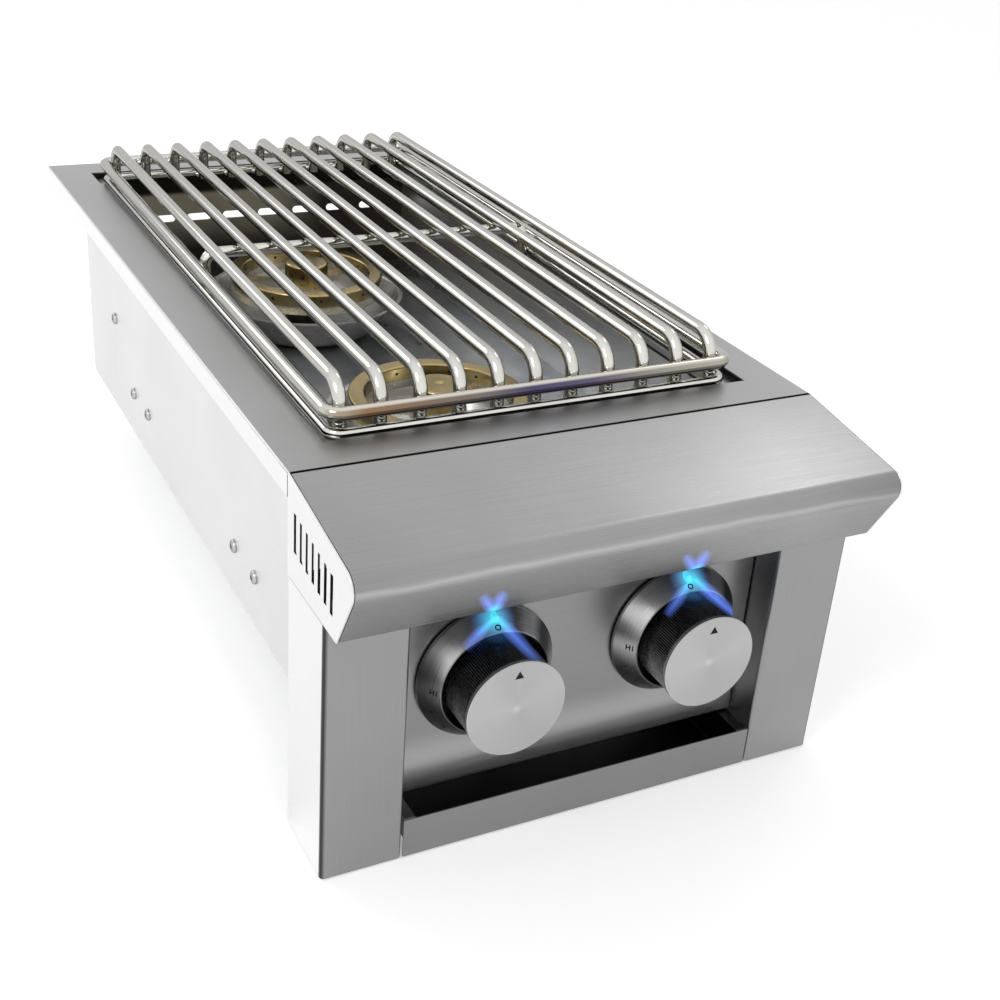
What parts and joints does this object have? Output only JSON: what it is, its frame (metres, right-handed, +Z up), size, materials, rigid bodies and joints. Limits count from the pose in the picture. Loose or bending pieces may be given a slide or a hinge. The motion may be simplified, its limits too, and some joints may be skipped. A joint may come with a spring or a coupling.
{
  "type": "built-in side burner",
  "caption": "Built-in gas side burner for an outdoor counter: brass burners in a steel well under a lift-off wire grate, sloped front nose, lit knobs and drip tray.",
  "frame": {"origin": "middle of the counter's front top edge, where the flange's front lip rests", "axes": "+X to the user's right, +Y back into the counter, +Z up"},
  "size_m": [0.33, 0.6751, 0.252],
  "materials": {
    "brushed_steel": "brushed stainless sheet, satin",
    "inner_steel": "plain stainless sheet, slightly heat tinted",
    "polished_wire": "polished stainless rod",
    "mirror_dish": "mirror polished stainless sheet",
    "brass": "turned brass, polished",
    "valve_brass": "plain machined brass",
    "plated_tube": "plated steel tube",
    "black_grip": "fine knurled black",
    "knob_face": "spun satin aluminium with a bright edge",
    "bezel_metal": "spun satin aluminium",
    "stem_steel": "plain steel",
    "light_lens": "clear blue, lit",
    "ceramic": "glazed white ceramic"
  },
  "bodies": {
    "housing": {"top_frame": "brushed_steel", "left_side_panel": "brushed_steel", "right_side_panel": "brushed_steel", "back_panel": "inner_steel", "front_heat_shield": "inner_steel", "floor_pan": "inner_steel", "bottom_pan": "inner_steel", "left_grate_rest": "inner_steel", "right_grate_rest": "inner_steel", "side_screws": "stem_steel", "nose_cover": "brushed_steel", "left_end_cap": "brushed_steel", "right_end_cap": "brushed_steel", "left_post": "brushed_steel", "right_post": "brushed_steel", "control_panel": "brushed_steel", "left_tray_runner": "inner_steel", "right_tray_runner": "inner_steel", "front_burner_ring": "brass", "rear_burner_ring": "brass", "front_burner_cap": "brass", "rear_burner_cap": "brass", "front_burner_base": "brass", "rear_burner_base": "brass", "front_reflector_dish": "mirror_dish", "rear_reflector_dish": "mirror_dish", "front_burner_bracket": "inner_steel", "rear_burner_bracket": "inner_steel", "front_electrode": "ceramic", "rear_electrode": "ceramic", "front_venturi_tube": "plated_tube", "rear_venturi_tube": "plated_tube", "front_air_shutter": "plated_tube", "rear_air_shutter": "plated_tube", "front_orifice": "valve_brass", "rear_orifice": "valve_brass", "left_valve": "valve_brass", "right_valve": "valve_brass", "manifold": "plated_tube", "supply_pipe": "plated_tube", "gas_inlet": "valve_brass", "left_bezel": "bezel_metal", "right_bezel": "bezel_metal", "left_light_lens": "light_lens", "right_light_lens": "light_lens"},
    "grate": {"grate_upper_ring": "polished_wire", "grate_lower_ring": "polished_wire", "grate_pan_rods": "polished_wire", "grate_cross_rod": "polished_wire"},
    "tray": {"drip_tray": "brushed_steel"},
    "left_push": {"left_stem_washer": "stem_steel"},
    "left_knob": {"left_stem": "stem_steel", "left_knob_grip": "black_grip", "left_knob_face": "knob_face"},
    "right_push": {"right_stem_washer": "stem_steel"},
    "right_knob": {"right_stem": "stem_steel", "right_knob_grip": "black_grip", "right_knob_face": "knob_face"}
  },
  "joints": [
    {"name": "grate_lift", "type": "slide", "parent": "housing", "child": "grate", "axis": [0, 0, 1], "range_m": [0, 0.08]},
    {"name": "drip_tray_slide", "type": "slide", "parent": "housing", "child": "tray", "axis": [0, -1, 0], "range_m": [0, 0.08]},
    {"name": "left_knob_push", "type": "slide", "parent": "housing", "child": "left_push", "axis": [0, 1, 0], "range_m": [0, 0.003], "stiffness_N_per_m": 1500},
    {"name": "left_knob_turn", "type": "hinge", "parent": "left_push", "child": "left_knob", "pos_m": [-0.062, -0.074, -0.109], "axis": [0, -1, 0], "range_deg": [0, 225]},
    {"name": "right_knob_push", "type": "slide", "parent": "housing", "child": "right_push", "axis": [0, 1, 0], "range_m": [0, 0.003], "stiffness_N_per_m": 1500},
    {"name": "right_knob_turn", "type": "hinge", "parent": "right_push", "child": "right_knob", "pos_m": [0.062, -0.074, -0.109], "axis": [0, -1, 0], "range_deg": [0, 225]}
  ]
}
